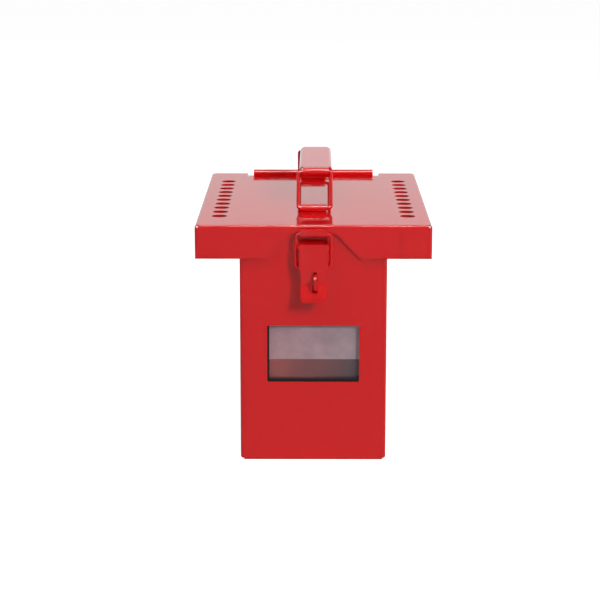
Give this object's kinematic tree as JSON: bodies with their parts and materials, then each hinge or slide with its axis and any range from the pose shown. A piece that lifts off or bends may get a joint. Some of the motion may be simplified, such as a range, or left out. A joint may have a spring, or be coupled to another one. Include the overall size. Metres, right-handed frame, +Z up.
{
  "type": "group lockout box",
  "caption": "Folded steel key box whose hinged lid overhangs two rows of padlock holes, with a draw latch, a window and a wire-bail carrying handle.",
  "frame": {"origin": "centre of the box's underside", "axes": "+Z up, -Y towards the latch and window, +Y towards the hinge, +X to the right seen from the front"},
  "size_m": [0.19, 0.295, 0.2304],
  "materials": {
    "red_powder_coat": "glossy powder coat",
    "pin_steel": "plain steel",
    "seal": "matt foam",
    "pane": "clear polished sheet"
  },
  "bodies": {
    "box": {"body_shell": "red_powder_coat", "back_panel": "red_powder_coat", "lock_rail_left": "red_powder_coat", "lock_rail_right": "red_powder_coat", "hinge_pin": "pin_steel", "window_seal": "seal", "window_pane": "pane", "latch_base": "red_powder_coat", "latch_staple": "red_powder_coat", "lever_pin": "red_powder_coat"},
    "lid": {"lid": "red_powder_coat", "latch_keeper": "red_powder_coat", "front_bracket": "red_powder_coat", "rear_bracket": "red_powder_coat"},
    "lever": {"latch_lever": "red_powder_coat"},
    "loop": {"latch_loop": "red_powder_coat"},
    "front_bail": {"front_bail": "red_powder_coat"},
    "grip": {"grip": "red_powder_coat"},
    "rear_bail": {"rear_bail": "red_powder_coat"}
  },
  "joints": [
    {"name": "lid_hinge", "type": "hinge", "parent": "box", "child": "lid", "pos_m": [0, 0.12915, 0.1985], "axis": [-1, 0, 0], "range_deg": [0, 95]},
    {"name": "lever_pivot", "type": "hinge", "parent": "box", "child": "lever", "pos_m": [0, -0.14035, 0.178], "axis": [-1, 0, 0], "range_deg": [0, 90]},
    {"name": "loop_pivot", "type": "hinge", "parent": "lever", "child": "loop", "pos_m": [0, -0.14085, 0.163], "axis": [-1, 0, 0], "range_deg": [-49, 0]},
    {"name": "handle_swing", "type": "hinge", "parent": "lid", "child": "front_bail", "pos_m": [0.001, -0.07485, 0.1999], "axis": [-1, 0, 0], "range_deg": [-6, 8]},
    {"name": "grip_pivot", "type": "hinge", "parent": "front_bail", "child": "grip", "pos_m": [0.002, -0.04835, 0.2263], "axis": [-1, 0, 0], "range_deg": [-12, 9]},
    {"name": "rear_bail_pivot", "type": "hinge", "parent": "lid", "child": "rear_bail", "pos_m": [0.001, 0.10215, 0.1999], "axis": [-1, 0, 0], "range_deg": [-6, 8]}
  ],
  "couplings": [
    {"joint": "loop_pivot", "follows": "lever_pivot", "ratio": -0.54},
    {"joint": "grip_pivot", "follows": "handle_swing", "ratio": -1.413},
    {"joint": "rear_bail_pivot", "follows": "handle_swing", "ratio": 0.952}
  ]
}
